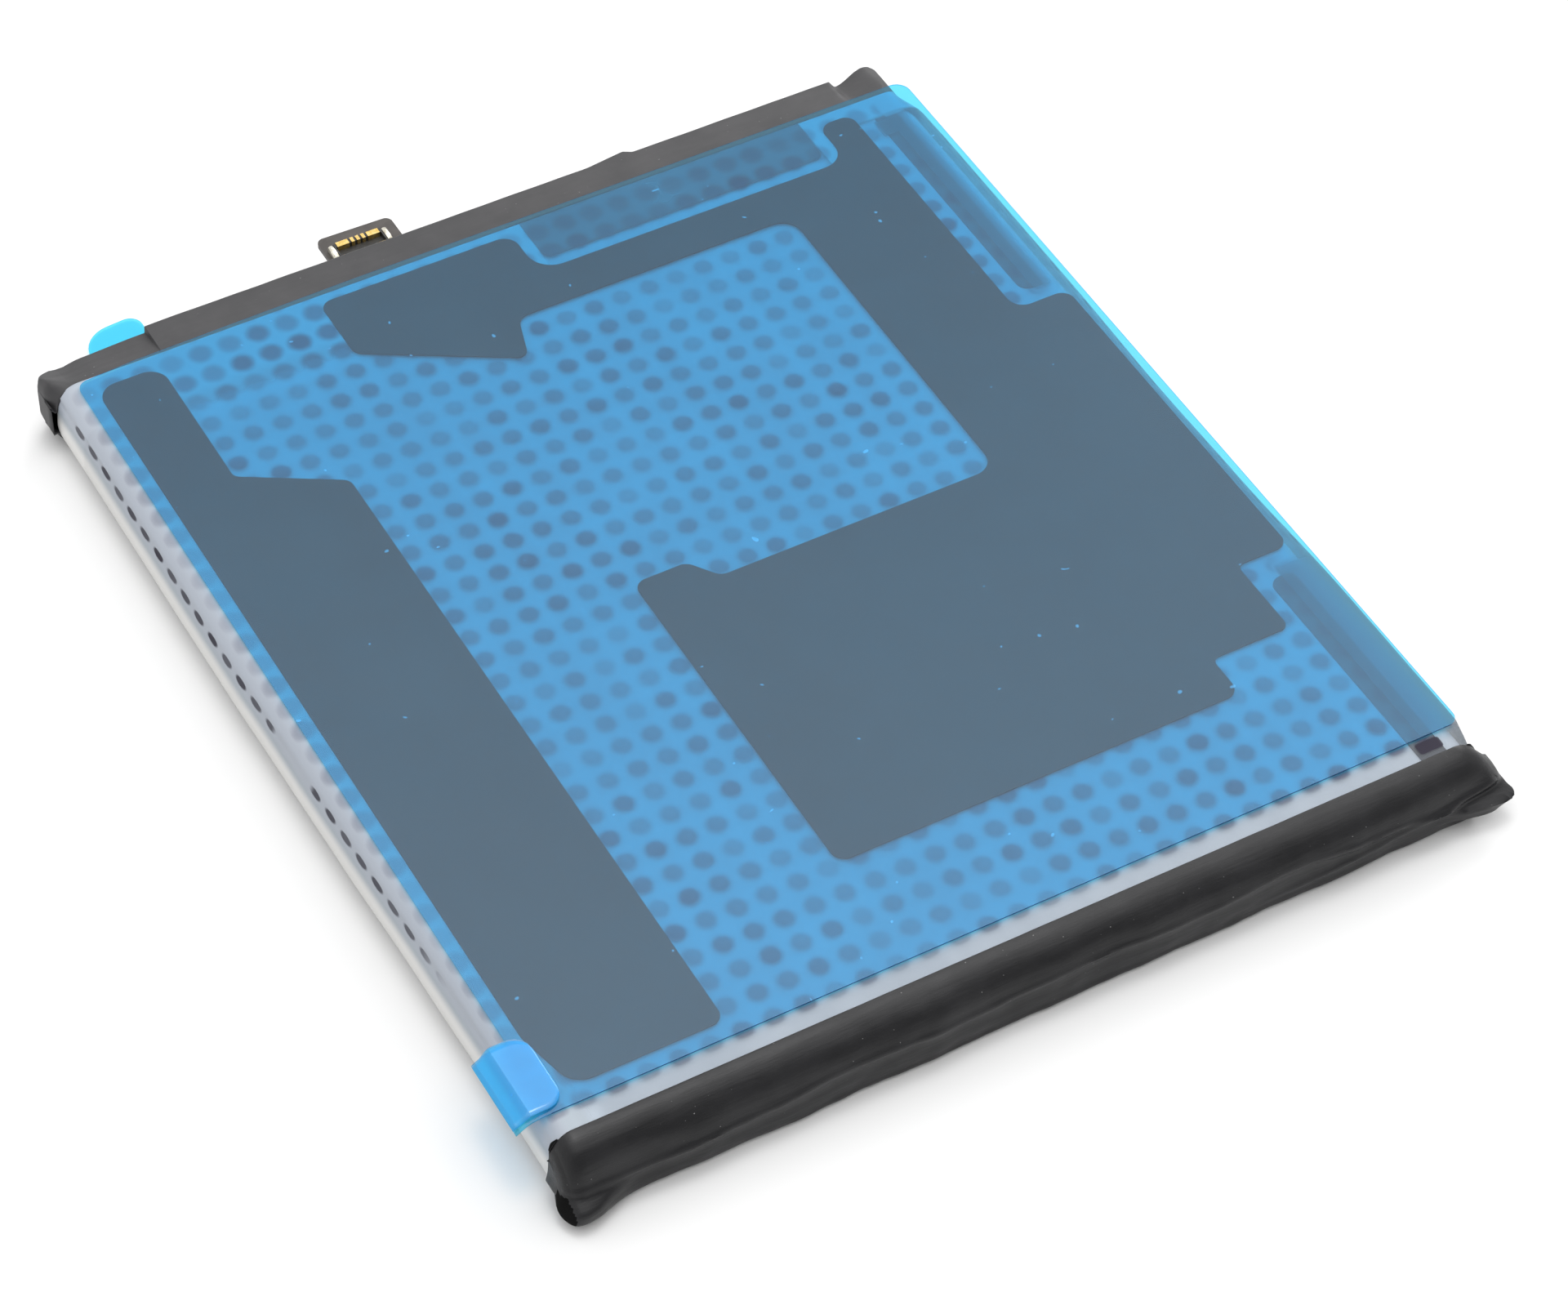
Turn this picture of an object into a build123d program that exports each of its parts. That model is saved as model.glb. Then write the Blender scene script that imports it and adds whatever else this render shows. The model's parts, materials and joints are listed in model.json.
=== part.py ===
"""Flat rectangular pouch battery cell in a film wrap, with its protection board and flexible tail.

Row frame: X across the width, +Y towards the tail end, +Z up through the thickness. The origin is
the middle of the underside, where the cell lies on its rear liner. Millimetres.
"""

import os
from math import acos, sin, tan

from build123d import *

# Thickness stack, from the underside up
liner_t = 0.08
liner_gap = 0.03
film_t = 0.06
film_z0 = liner_t + liner_gap
film_z1 = 4.85
tape_t = 0.08
shell_t = 0.11
pouch_z0 = 0.29
pouch_z1 = 4.68
seam_z = 2.45
seam_t = 0.10
adhesive_t = 0.06
adhesive_z = film_z1 + 0.01
front_z = adhesive_z + adhesive_t + liner_gap

# Wrap film
film_half = 31.05
film_near = -34.9
film_far = 32.9
film_top_r = 1.7
film_low_r = 1.2

# Pouch
pouch_half = 30.80
pouch_near = -35.5
pouch_far = 32.7
pouch_corner_r = 2.2
pouch_top_r = 1.55
pouch_low_r = 1.0
terrace_half = 29.0
terrace_far = 35.2

# Head: the taped terrace with the protection board
head_half = 30.94
head_wall = 0.12
head_near = 31.7
head_far = 35.9
head_z0 = 0.19
head_z1 = 4.77
head_top_r = 1.62
head_low_r = 1.12
box_x0 = -23.5
box_x1 = 26.8
shoulder_y = 33.1
left_shoulder_z = 3.4
right_shoulder_z = 3.9
corner_cut_x = 1.34
corner_cut_y = 1.5

# Electrode tabs
tab_w = 5.0
tab_t = 0.06
tab_x = (-14.0, 14.0)
sealant_w = 7.5
slot_play = 0.02

# Protection board
board_x0 = -22.3
board_x1 = 25.6
board_y0 = 32.95
board_y1 = 35.15
board_z0 = seam_z + seam_t / 2 + shell_t + 0.06
board_t = 0.5
board_z1 = board_z0 + board_t
pad_t = 0.12

# Tail with its connector
tail_x0 = -9.9
tail_x1 = -4.6
tail_far = 39.3
tail_t = 0.12
tail_pivot_y = 36.0
tail_pivot_z = board_z1 + 0.07
tail_clear = 0.08
stiffener_t = 0.2
plug_x0 = -9.65
plug_x1 = -5.45
plug_y0 = 36.2
plug_y1 = 38.0
plug_h = 0.55
plug_wall = 0.34
fitting_w = 0.38

# Release liners
front_x0 = -29.6
front_x1 = 31.0
front_y0 = -32.5
front_y1 = 33.2
ear_y0 = -32.5
ear_y1 = -27.0
fold_x = -31.85
fold_z = 4.35
flap_x1 = -28.5
flap_y0 = -32.0
flap_y1 = -26.9
rear_half = 29.4
rear_y0 = -33.1
rear_y1 = 33.0
rear_tab_x0 = -26.1
rear_tab_x1 = -21.9
rear_tab_y1 = 41.7
rear_pivot_y = 36.2

# Near-end tape
cap_left = -31.3
cap_right = 31.4
cap_near = -36.3
cap_edge = -34.0
cap_z1 = 4.96
cap_wall = 0.09


def rounded_outline(corners):
    """Closed outline through (x, y, radius) corners, each rounded by a tangent arc."""
    starts = []
    ends = []
    mids = []
    count = len(corners)
    for i in range(count):
        x, y, r = corners[i]
        before = Vector(corners[i - 1][0] - x, corners[i - 1][1] - y).normalized()
        after_x, after_y = corners[(i + 1) % count][:2]
        after = Vector(after_x - x, after_y - y).normalized()
        here = Vector(x, y)
        if r == 0:
            starts.append(here)
            ends.append(here)
            mids.append(None)
            continue
        half = acos(before.dot(after)) / 2
        reach = r / tan(half)
        inward = (before + after).normalized()
        starts.append(here + before * reach)
        ends.append(here + after * reach)
        mids.append(here + inward * (r / sin(half) - r))
    for i in range(count):
        if mids[i] is not None:
            ThreePointArc(starts[i], mids[i], ends[i])
        Line(ends[i], starts[(i + 1) % count])


def plate(outline, z, thickness):
    """Flat sheet of the given outline, its underside at z."""
    with BuildPart() as sheet:
        with BuildSketch(Plane.XY.offset(z)):
            with BuildLine():
                rounded_outline(outline)
            make_face()
        extrude(amount=thickness)
    return sheet.part


def span_box(x0, x1, y0, y1, z0, z1):
    """Box between two corners."""
    with BuildPart() as block:
        with BuildSketch(Plane.XY.offset(z0)):
            with Locations(((x0 + x1) / 2, (y0 + y1) / 2)):
                Rectangle(x1 - x0, y1 - y0)
        extrude(amount=z1 - z0)
    return block.part


def body_section(half, z0, z1, top_r, low_r):
    """Corners of the cell's cross-section, seen along Y."""
    return [
        (-half, z0, low_r),
        (half, z0, low_r),
        (half, z1, top_r),
        (-half, z1, top_r),
    ]


# ---- Wrap film: a closed sleeve around the pouch ----
with BuildPart() as wrap_film:
    with BuildSketch(Plane.XZ.offset(-film_far)):
        with BuildLine():
            rounded_outline(body_section(film_half, film_z0, film_z1, film_top_r, film_low_r))
        make_face()
        with BuildLine():
            rounded_outline(
                body_section(
                    film_half - film_t,
                    film_z0 + film_t,
                    film_z1 - film_t,
                    film_top_r - film_t,
                    film_low_r - film_t,
                )
            )
        make_face(mode=Mode.SUBTRACT)
    extrude(amount=film_far - film_near)
wrap_film.part.label = "wrap_film"


def shell_block(inset, z0, z1, edge_r, top):
    """One half of the pouch as a solid block, inset from the outside."""
    with BuildPart() as block:
        with BuildSketch(Plane.XY.offset(z0)):
            with Locations((0, (pouch_near + pouch_far) / 2)):
                RectangleRounded(
                    2 * (pouch_half - inset),
                    pouch_far - pouch_near - 2 * inset,
                    pouch_corner_r - inset,
                )
        extrude(amount=z1 - z0)
        face = block.faces().sort_by(Axis.Z)[-1 if top else 0]
        fillet(face.edges(), radius=edge_r)
    return block.part


def tab_slots():
    """Space that both electrode tabs take where they leave the pouch."""
    with BuildPart() as slots:
        for x in tab_x:
            half = sealant_w / 2 + slot_play
            add(span_box(x - half, x + half, 31.9, 35.3, seam_z - seam_t / 2, seam_z + seam_t / 2))
    return slots.part


# ---- Pouch: upper and lower laminate shells ----
with BuildPart() as pouch_upper_shell:
    add(shell_block(0, seam_z, pouch_z1, pouch_top_r, True))
    add(
        shell_block(shell_t, seam_z, pouch_z1 - shell_t, pouch_top_r - shell_t, True),
        mode=Mode.SUBTRACT,
    )
    flange_z = seam_z + seam_t / 2
    add(
        span_box(
            -terrace_half, terrace_half, pouch_far - 0.1, terrace_far, flange_z, flange_z + shell_t
        )
    )
    add(tab_slots(), mode=Mode.SUBTRACT)
pouch_upper_shell.part.label = "pouch_upper_shell"

with BuildPart() as pouch_lower_shell:
    add(shell_block(0, pouch_z0, seam_z, pouch_low_r, False))
    add(
        shell_block(shell_t, pouch_z0 + shell_t, seam_z, pouch_low_r - shell_t, False),
        mode=Mode.SUBTRACT,
    )
    flange_z = seam_z - seam_t / 2 - shell_t
    add(
        span_box(
            -terrace_half, terrace_half, pouch_far - 0.1, terrace_far, flange_z, flange_z + shell_t
        )
    )
    add(tab_slots(), mode=Mode.SUBTRACT)
pouch_lower_shell.part.label = "pouch_lower_shell"

# ---- Terrace weld between the shells' flanges ----
with BuildPart() as terrace_seal:
    add(
        span_box(
            -terrace_half,
            terrace_half,
            pouch_far,
            terrace_far,
            seam_z - seam_t / 2,
            seam_z + seam_t / 2,
        )
    )
    add(tab_slots(), mode=Mode.SUBTRACT)
terrace_seal.part.label = "terrace_seal"

# ---- Folded side seals, flat against the long walls ----
seal_x0 = pouch_half + 0.02
seal_x1 = pouch_half + 0.17
with BuildPart() as side_seal_left:
    add(span_box(-seal_x1, -seal_x0, -33.0, 31.2, 1.4, seam_z))
    fillet(side_seal_left.edges().filter_by(Axis.X), radius=0.5)
side_seal_left.part.label = "side_seal_left"

with BuildPart() as side_seal_right:
    add(span_box(seal_x0, seal_x1, -33.0, 31.2, 1.4, seam_z))
    fillet(side_seal_right.edges().filter_by(Axis.X), radius=0.5)
side_seal_right.part.label = "side_seal_right"

# ---- Electrode stack: coated foils with separator between them ----
anode_t = 0.24
cathode_t = 0.26
separator_t = 0.06
anode_count = 7
stack_near = -34.0
stack_far = 31.2
stack_gap = 0.005
pitch = anode_t + cathode_t + 2 * separator_t + 4 * stack_gap
stack_h = (anode_count - 1) * pitch + anode_t
stack_z0 = (pouch_z0 + pouch_z1 - stack_h) / 2

with BuildPart() as anode_foils:
    for i in range(anode_count):
        z = stack_z0 + i * pitch
        add(span_box(-29.0, 29.0, stack_near, stack_far, z, z + anode_t))
anode_foils.part.label = "anode_foils"

with BuildPart() as cathode_foils:
    for i in range(anode_count - 1):
        z = stack_z0 + i * pitch + anode_t + separator_t + 2 * stack_gap
        add(span_box(-28.5, 28.5, stack_near + 0.5, stack_far - 0.5, z, z + cathode_t))
cathode_foils.part.label = "cathode_foils"

with BuildPart() as separator_sheets:
    for i in range(anode_count - 1):
        low = stack_z0 + i * pitch + anode_t + stack_gap
        high = low + separator_t + cathode_t + 2 * stack_gap
        for z in (low, high):
            add(span_box(-29.2, 29.2, stack_near - 0.2, stack_far + 0.2, z, z + separator_t))
separator_sheets.part.label = "separator_sheets"


def tab_strip(x):
    """Electrode tab: out through the seam, up round the board's edge and back onto its pad."""
    low = seam_z - tab_t / 2
    high = board_z1 + pad_t
    turn = board_y1 + 0.25
    near = stack_far + 0.3
    back = board_y0 + 0.9
    with BuildPart() as strip:
        with BuildSketch(Plane.YZ.offset(x - tab_w / 2)):
            with BuildLine():
                Polyline(
                    (near, low),
                    (turn + tab_t, low),
                    (turn + tab_t, high + tab_t),
                    (back, high + tab_t),
                    (back, high),
                    (turn, high),
                    (turn, low + tab_t),
                    (near, low + tab_t),
                    close=True,
                )
            make_face()
        extrude(amount=tab_w)
    return strip.part


def sealant_film(x):
    """Polymer film that seals the laminate around one tab."""
    with BuildPart() as film:
        half = sealant_w / 2
        add(span_box(x - half, x + half, 32.0, terrace_far, seam_z - seam_t / 2, seam_z + seam_t / 2))
        add(
            span_box(
                x - tab_w / 2, x + tab_w / 2, 31.9, 35.3, seam_z - tab_t / 2, seam_z + tab_t / 2
            ),
            mode=Mode.SUBTRACT,
        )
    return film.part


with BuildPart() as positive_tab:
    add(tab_strip(tab_x[0]))
positive_tab.part.label = "positive_tab"

with BuildPart() as negative_tab:
    add(tab_strip(tab_x[1]))
negative_tab.part.label = "negative_tab"

with BuildPart() as positive_tab_sealant:
    add(sealant_film(tab_x[0]))
positive_tab_sealant.part.label = "positive_tab_sealant"

with BuildPart() as negative_tab_sealant:
    add(sealant_film(tab_x[1]))
negative_tab_sealant.part.label = "negative_tab_sealant"

# ---- Protection board on its insulating strip ----
with BuildPart() as board_insulator:
    add(span_box(-22.6, 25.9, 32.9, terrace_far, board_z0 - 0.06, board_z0))
board_insulator.part.label = "board_insulator"

with BuildPart() as protection_board:
    add(span_box(board_x0, board_x1, board_y0, board_y1, board_z0, board_z1))
    fillet(protection_board.edges().filter_by(Axis.Z), radius=0.4)
protection_board.part.label = "protection_board"


def pad(x):
    """Nickel pad that a tab is welded to."""
    return span_box(x - 2.7, x + 2.7, board_y0 + 0.2, board_y1 - 0.15, board_z1, board_z1 + pad_t)


with BuildPart() as positive_pad:
    add(pad(tab_x[0]))
positive_pad.part.label = "positive_pad"

with BuildPart() as negative_pad:
    add(pad(tab_x[1]))
negative_pad.part.label = "negative_pad"

with BuildPart() as protection_chip:
    add(span_box(-3.2, -1.2, 33.25, 34.85, board_z1, board_z1 + 0.55))
    chamfer(protection_chip.faces().sort_by(Axis.Z)[-1].edges(), length=0.06)
protection_chip.part.label = "protection_chip"

with BuildPart() as switch_pair:
    add(span_box(0.6, 4.1, 33.15, 34.95, board_z1, board_z1 + 0.7))
    chamfer(switch_pair.faces().sort_by(Axis.Z)[-1].edges(), length=0.08)
switch_pair.part.label = "switch_pair"

with BuildPart() as thermal_fuse:
    add(span_box(-21.6, -17.8, 33.2, 34.9, board_z1, board_z1 + 0.9))
    fillet(thermal_fuse.edges().filter_by(Axis.Z), radius=0.3)
thermal_fuse.part.label = "thermal_fuse"

chip_pitch = 1.25
with BuildPart() as chip_parts:
    for i in range(4):
        for y in (33.55, 34.6):
            x = 5.4 + i * chip_pitch
            add(span_box(x - 0.4, x + 0.4, y - 0.22, y + 0.22, board_z1, board_z1 + 0.4))
    add(span_box(18.2, 20.2, 33.4, 34.7, board_z1, board_z1 + 0.5))
chip_parts.part.label = "chip_parts"

with BuildPart() as terrace_spacer:
    add(span_box(-28.4, 28.4, pouch_far + 0.1, 35.1, 0.36, 2.24))
    fillet(terrace_spacer.edges().filter_by(Axis.X), radius=0.4)
terrace_spacer.part.label = "terrace_spacer"


def head_block(inset_x, inset_far, z0, z1, top_r, low_r, drop, side):
    """The head's outside or its hollow: a rounded bar with two lowered shoulders and cut corners."""
    half = head_half - inset_x
    far = head_far - inset_far
    with BuildPart() as block:
        with BuildSketch(Plane.XZ.offset(-far)):
            with BuildLine():
                rounded_outline(body_section(half, z0, z1, top_r, low_r))
            make_face()
        extrude(amount=far - head_near)
        for x0, x1, low in (
            (-head_half - 1, box_x0 + side, left_shoulder_z),
            (box_x1 - side, head_half + 1, right_shoulder_z),
        ):
            with BuildSketch(Plane.YZ.offset(x0)):
                with BuildLine():
                    Polyline(
                        (shoulder_y, z1),
                        (far + 1, low - drop - (z1 - low + drop) / (far - shoulder_y)),
                        (far + 1, z1 + 1),
                        (shoulder_y, z1 + 1),
                        close=True,
                    )
                make_face()
            extrude(amount=x1 - x0, mode=Mode.SUBTRACT)
        for s in (-1, 1):
            with BuildSketch(Plane.XY):
                with BuildLine():
                    Polyline(
                        (s * half, far - corner_cut_y),
                        (s * (half - corner_cut_x), far),
                        (s * (half - corner_cut_x), far + 1),
                        (s * (half + 1), far + 1),
                        (s * (half + 1), far - corner_cut_y),
                        close=True,
                    )
                make_face()
            extrude(amount=z1 + 1, mode=Mode.SUBTRACT)
    return block.part


# ---- Head tape: wraps the terrace and laps onto the cell, with a flap on top ----
with BuildPart() as head_tape:
    add(head_block(0, 0, head_z0, head_z1, head_top_r, head_low_r, 0, 0))
    add(
        head_block(
            head_wall,
            head_wall,
            head_z0 + tape_t,
            head_z1 - tape_t,
            head_top_r - 0.12,
            head_low_r - 0.12,
            head_wall,
            head_wall,
        ),
        mode=Mode.SUBTRACT,
    )
    flap = [(1.9, 29.2, 0.6), (22.7, 29.2, 0.6), (22.7, head_near, 0), (1.9, head_near, 0)]
    add(plate(flap, head_z1 - tape_t, tape_t))
    with BuildSketch(Plane.XY.offset(3.9)):
        with BuildLine():
            Polyline(
                (8.3, head_far - 0.05),
                (8.3, head_far),
                (11.3, head_far + 0.35),
                (11.8, head_far + 0.3),
                (11.8, head_far - 0.05),
                close=True,
            )
        make_face()
    extrude(amount=0.7)
    add(
        span_box(tail_x0 - 0.1, tail_x1 + 0.1, head_far - 0.2, head_far + 0.1, 2.9, 3.4),
        mode=Mode.SUBTRACT,
    )
head_tape.part.label = "head_tape"

# ---- Near-end tape: a cap over the film's end, folded flat at both corners ----
cap_fold_z = 2.5
cap_fold = 0.2
cap_lean = 0.65
with BuildPart() as near_end_tape:
    with BuildSketch(Plane.XZ.offset(-cap_edge)):
        with BuildLine():
            rounded_outline(
                [
                    (cap_left, 0, film_low_r),
                    (cap_right, 0, film_low_r),
                    (cap_right, cap_z1, film_top_r),
                    (cap_left, cap_z1, film_top_r),
                ]
            )
        make_face()
    extrude(amount=cap_edge - cap_near + 1)
    with BuildSketch(Plane.YZ.offset(cap_left - 1)):
        with BuildLine():
            rounded_outline(
                [
                    (cap_edge, 0, 0),
                    (cap_near, 0, 0.5),
                    (cap_near, cap_fold_z, 0.3),
                    (cap_near - cap_fold, cap_fold_z + 0.3, 0.15),
                    (cap_near + 0.1, cap_fold_z + 0.9, 0.3),
                    (cap_near + cap_lean, cap_z1, 1.0),
                    (cap_edge, cap_z1, 0),
                ]
            )
        make_face()
    extrude(amount=cap_right - cap_left + 2, mode=Mode.INTERSECT)
    left_lip = [
        (cap_left + 0.2, cap_near + 0.4, 0.1),
        (cap_left + 0.4, cap_near - 0.95, 0.1),
        (cap_left + 1.1, cap_near - 1.0, 0.15),
        (cap_left + 4.4, cap_near - 0.15, 0.3),
        (cap_left + 5.2, cap_near + 0.4, 0),
    ]
    add(plate(left_lip, 0.3, 1.9))
    right_lip = [
        (cap_right - 2.9, cap_near + 0.2, 0),
        (cap_right - 1.1, cap_near - 0.95, 0.3),
        (cap_right + 1.1, cap_near - 0.7, 0.2),
        (cap_right + 1.5, cap_near + 0.2, 0.15),
        (cap_right - 0.1, cap_near + 1.3, 0),
    ]
    add(plate(right_lip, 1.1, 1.5))
    with BuildSketch(Plane.XZ.offset(-cap_edge - 1)):
        with BuildLine():
            rounded_outline(
                body_section(
                    film_half + 0.01, film_z0 - 0.01, film_z1 + 0.01, film_top_r, film_low_r
                )
            )
        make_face()
    extrude(amount=1 + cap_edge - pouch_near + 0.03, mode=Mode.SUBTRACT)
near_end_tape.part.label = "near_end_tape"

# ---- Dark strips under the film, along the right edge ----
strip_z = pouch_z1 + 0.01
with BuildPart() as edge_strip_upper:
    upper_strip = [(27.6, 11.9, 0.8), (29.15, 11.9, 0.2), (29.15, 31.4, 0.2), (27.6, 31.4, 0.5)]
    add(plate(upper_strip, strip_z, 0.06))
edge_strip_upper.part.label = "edge_strip_upper"

with BuildPart() as edge_strip_lower:
    lower_strip = [
        (27.4, -34.3, 0.2),
        (29.15, -34.3, 0.2),
        (29.15, -17.3, 0.4),
        (27.4, -17.3, 0.8),
    ]
    add(plate(lower_strip, strip_z, 0.06))
edge_strip_lower.part.label = "edge_strip_lower"

# ---- Black adhesive pieces on the film's face ----
left_piece = [
    (-28.65, -27.0, 3.0),
    (-27.6, -31.3, 1.6),
    (-18.05, -31.3, 0.8),
    (-18.05, 16.9, 0.8),
    (-24.25, 20.6, 0.6),
    (-24.25, 31.7, 1.3),
    (-28.65, 31.7, 1.3),
]
with BuildPart() as adhesive_strip:
    add(plate(left_piece, adhesive_z, adhesive_t))
adhesive_strip.part.label = "adhesive_strip"

main_piece = [
    (-12.9, 32.15, 0.8),
    (-12.9, 26.95, 0.9),
    (-3.35, 21.35, 0.6),
    (-2.25, 24.95, 1.0),
    (17.75, 24.95, 1.4),
    (17.75, -1.15, 1.4),
    (-1.75, -1.15, 0.9),
    (-3.15, 0.8, 0.9),
    (-6.8, 0.8, 0.8),
    (-6.8, -24.35, 0.9),
    (20.8, -24.35, 0.9),
    (20.8, -21.25, 0.5),
    (26.35, -21.25, 0.6),
    (26.35, -15.45, 0.5),
    (30.1, -15.45, 0.8),
    (30.1, 10.5, 0.9),
    (26.25, 10.5, 1.1),
    (26.25, 31.95, 0.8),
    (23.8, 31.95, 0.9),
    (23.8, 28.15, 1.6),
    (0.9, 28.15, 1.8),
    (0.9, 32.15, 1.1),
]
with BuildPart() as adhesive_panel:
    add(plate(main_piece, adhesive_z, adhesive_t))
adhesive_panel.part.label = "adhesive_panel"

# ---- Front release liner with its ear over the edge, and the folded-back pull tab ----
front_sheet = [
    (front_x0, ear_y1, 0),
    (front_x0, front_y0, 0),
    (front_x1, front_y0, 0.6),
    (front_x1, front_y1, 1.0),
    (front_x0, front_y1 - 0.5, 1.2),
]
with BuildPart() as front_liner:
    add(plate(front_sheet, front_z, liner_t))
    with BuildSketch(Plane.XZ.offset(-ear_y1)):
        with BuildLine():
            Polyline(
                (front_x0, front_z),
                (-30.7, front_z - 0.05),
                (fold_x + 0.1, fold_z),
                (fold_x + 0.06, fold_z + liner_t),
                (-30.7, front_z + liner_t - 0.02),
                (front_x0, front_z + liner_t),
                close=True,
            )
        make_face()
    extrude(amount=ear_y1 - ear_y0)
front_liner.part.label = "front_liner"

flap_z = front_z + liner_t + 0.04
with BuildPart() as front_pull_tab:
    with BuildSketch(Plane.XZ.offset(-flap_y1)):
        with BuildLine():
            Polyline(
                (fold_x + 0.02, fold_z + 0.12),
                (-30.75, flap_z),
                (flap_x1, flap_z),
                (flap_x1, flap_z + liner_t),
                (-30.8, flap_z + liner_t),
                (fold_x - 0.05, fold_z + 0.16),
                close=True,
            )
        make_face()
    extrude(amount=flap_y1 - flap_y0)
    fillet(front_pull_tab.edges().filter_by(Axis.Z).group_by(Axis.X)[-1], radius=0.9)
front_pull_tab.part.label = "front_pull_tab"

# ---- Rear release liner and its pull tab ----
rear_sheet = [
    (-rear_half, rear_y0, 1.0),
    (rear_half, rear_y0, 1.0),
    (rear_half, rear_y1, 1.0),
    (rear_tab_x1 + 0.9, rear_y1, 0.8),
    (rear_tab_x1, rear_pivot_y - 0.06, 0),
    (rear_tab_x0, rear_pivot_y - 0.06, 0),
    (rear_tab_x0 - 0.9, rear_y1, 0.8),
    (-rear_half, rear_y1, 1.0),
]
with BuildPart() as rear_liner:
    add(plate(rear_sheet, 0, liner_t))
rear_liner.part.label = "rear_liner"

rear_tab = [
    (rear_tab_x0, rear_pivot_y + 0.06, 0),
    (rear_tab_x1, rear_pivot_y + 0.06, 0),
    (rear_tab_x1, rear_tab_y1, 0.9),
    (rear_tab_x0, rear_tab_y1 - 0.3, 2.2),
]
with BuildPart() as rear_pull_tab:
    add(plate(rear_tab, 0, liner_t))
rear_pull_tab.part.label = "rear_pull_tab"

# ---- Flexible tail: its root on the board, and the free end with the connector ----
with BuildPart() as tail_root:
    add(
        span_box(
            tail_x0 + 0.3,
            tail_x1 - 0.3,
            board_y0 + 0.3,
            head_far + 0.02,
            tail_pivot_z - tail_t / 2,
            tail_pivot_z + tail_t / 2,
        )
    )
tail_root.part.label = "tail_root"

free_outline = [
    (tail_x0, tail_pivot_y + tail_clear, 0.2),
    (tail_x1, tail_pivot_y + tail_clear, 0.2),
    (tail_x1, tail_far - 0.15, 0.5),
    (tail_x0, tail_far, 0.5),
]
with BuildPart() as tail_flex:
    add(plate(free_outline, tail_pivot_z - tail_t / 2, tail_t))
tail_flex.part.label = "tail_flex"

with BuildPart() as tail_stiffener:
    add(plate(free_outline, tail_pivot_z - tail_t / 2 - stiffener_t, stiffener_t))
tail_stiffener.part.label = "tail_stiffener"

plug_z = tail_pivot_z + tail_t / 2
wall_x0 = plug_x0 + fitting_w
wall_x1 = plug_x1 - fitting_w
with BuildPart() as connector_housing:
    add(span_box(wall_x0, wall_x1, plug_y0 + 0.08, plug_y1 - 0.08, plug_z, plug_z + plug_h - 0.06))
    add(
        span_box(
            wall_x0 + 0.1,
            wall_x1 - 0.1,
            plug_y0 + plug_wall + 0.08,
            plug_y1 - plug_wall - 0.08,
            plug_z + 0.15,
            plug_z + plug_h,
        ),
        mode=Mode.SUBTRACT,
    )
connector_housing.part.label = "connector_housing"

with BuildPart() as connector_end_fittings:
    for x0, x1 in ((plug_x0, wall_x0), (wall_x1, plug_x1)):
        add(span_box(x0, x1, plug_y0, plug_y1, plug_z, plug_z + plug_h))
    fillet(connector_end_fittings.edges().filter_by(Axis.Z), radius=0.12)
connector_end_fittings.part.label = "connector_end_fittings"

contact_t = 0.05
contact_widths = (0.85, 0.22, 0.22, 0.22, 0.85)
contact_gap = 0.17
contact_run = sum(contact_widths) + contact_gap * (len(contact_widths) - 1)


def contact(x0, x1, y0, y1):
    """Thin metal strip folded over the top of one housing wall."""
    with BuildPart() as strip:
        top = plug_z + plug_h - 0.06
        add(span_box(x0, x1, y0 - contact_t, y1 + contact_t, plug_z + 0.16, top + contact_t))
        add(span_box(x0 - 1, x1 + 1, y0, y1, plug_z, top), mode=Mode.SUBTRACT)
    return strip.part


with BuildPart() as connector_contacts:
    for y0 in (plug_y0 + 0.08, plug_y1 - 0.08 - plug_wall):
        x = (wall_x0 + wall_x1 - contact_run) / 2
        for width in contact_widths:
            add(contact(x, x + width, y0, y0 + plug_wall))
            x += width + contact_gap
connector_contacts.part.label = "connector_contacts"

pieces = [
    wrap_film,
    pouch_upper_shell,
    pouch_lower_shell,
    terrace_seal,
    side_seal_left,
    side_seal_right,
    anode_foils,
    cathode_foils,
    separator_sheets,
    positive_tab,
    negative_tab,
    positive_tab_sealant,
    negative_tab_sealant,
    board_insulator,
    protection_board,
    positive_pad,
    negative_pad,
    protection_chip,
    switch_pair,
    thermal_fuse,
    chip_parts,
    terrace_spacer,
    head_tape,
    near_end_tape,
    edge_strip_upper,
    edge_strip_lower,
    adhesive_strip,
    adhesive_panel,
    front_liner,
    front_pull_tab,
    rear_liner,
    rear_pull_tab,
    tail_root,
    tail_flex,
    tail_stiffener,
    connector_housing,
    connector_end_fittings,
    connector_contacts,
]
os.makedirs("parts", exist_ok=True)
for piece in pieces:
    export_step(piece.part, f"parts/{piece.part.label}.step")
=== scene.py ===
import json
import math

import bmesh
import bpy
from mathutils import Matrix, Vector, noise


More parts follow.
